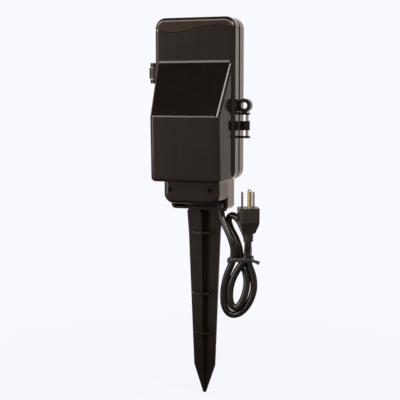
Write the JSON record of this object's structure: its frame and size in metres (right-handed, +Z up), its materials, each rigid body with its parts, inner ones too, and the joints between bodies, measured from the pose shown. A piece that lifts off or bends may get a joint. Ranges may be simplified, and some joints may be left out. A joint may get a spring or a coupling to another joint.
{
  "type": "outdoor power stake",
  "caption": "Outdoor power stake: weatherproof outlet box with hinged bubble cover, side latch, cross-shaped ground stake and tied grounded cord.",
  "frame": {"origin": "tip of the ground stake", "axes": "+Z up along the stake, the cover faces -Y, its latch is at +X and its hinge at -X"},
  "size_m": [0.1334, 0.0829, 0.4305],
  "materials": {
    "housing_plastic": "gloss very dark brown",
    "lid_plastic": "gloss very dark brown",
    "sensor_smoke": "smoked brown gloss",
    "stake_plastic": "gloss very dark brown",
    "deck_plastic": "gloss very dark brown",
    "outlet_plastic": "satin black",
    "dial_plastic": "satin grey",
    "seal_rubber": "matt",
    "cord_vinyl": "gloss black vinyl",
    "plug_vinyl": "satin black vinyl",
    "tie_vinyl": "satin black",
    "prong_steel": "nickel-plated",
    "prong_brass": "plated brass",
    "pin_steel": "bright",
    "screw_steel": "zinc-plated",
    "copper": "copper strip",
    "board_green": "solder mask",
    "relay_plastic": "satin blue",
    "capacitor_sleeve": "satin",
    "switch_plastic": "satin",
    "sensor_glass": "clear resin",
    "led_glass": "red resin",
    "lead_black": "satin",
    "lead_white": "satin",
    "lead_green": "satin"
  },
  "bodies": {
    "frame": {"rear_housing": "housing_plastic", "outlet_deck": "deck_plastic", "sensor_cap": "sensor_smoke", "lid_seal": "seal_rubber", "outlet_1": "outlet_plastic", "outlet_2": "outlet_plastic", "outlet_3": "outlet_plastic", "outlet_4": "outlet_plastic", "line_busbar": "copper", "neutral_busbar": "copper", "ground_busbar": "copper", "line_lead": "lead_black", "neutral_lead": "lead_white", "ground_lead": "lead_green", "circuit_board": "board_green", "relay": "relay_plastic", "capacitor": "capacitor_sleeve", "light_sensor": "sensor_glass", "status_led": "led_glass", "dial_switch": "switch_plastic", "hinge_pin_upper": "pin_steel", "hinge_pin_lower": "pin_steel", "latch_pin": "pin_steel", "housing_screws": "screw_steel", "neck_screws": "screw_steel", "stake_screw": "screw_steel", "stake": "stake_plastic", "cord_gland": "cord_vinyl", "power_cord": "cord_vinyl", "plug_cord": "cord_vinyl", "cord_hank": "cord_vinyl", "twist_tie": "tie_vinyl", "plug_body": "plug_vinyl", "plug_strain_relief": "plug_vinyl", "plug_blades": "prong_steel", "plug_ground_pin": "prong_brass"},
    "lid": {"lid": "lid_plastic"},
    "latch": {"latch": "lid_plastic"},
    "dial": {"dial_knob": "dial_plastic"}
  },
  "joints": [
    {"name": "lid_hinge", "type": "hinge", "parent": "frame", "child": "lid", "pos_m": [-0.055, -0.016, 0.342], "axis": [0, 0, -1], "range_deg": [0, 135]},
    {"name": "latch_pivot", "type": "hinge", "parent": "frame", "child": "latch", "pos_m": [0.0552, -0.0158, 0.3127], "axis": [0, 0, 1], "range_deg": [0, 100]},
    {"name": "dial_turn", "type": "hinge", "parent": "frame", "child": "dial", "pos_m": [0, -0.018, 0.392], "axis": [0, 1, 0], "range_deg": [-150, 150]}
  ]
}
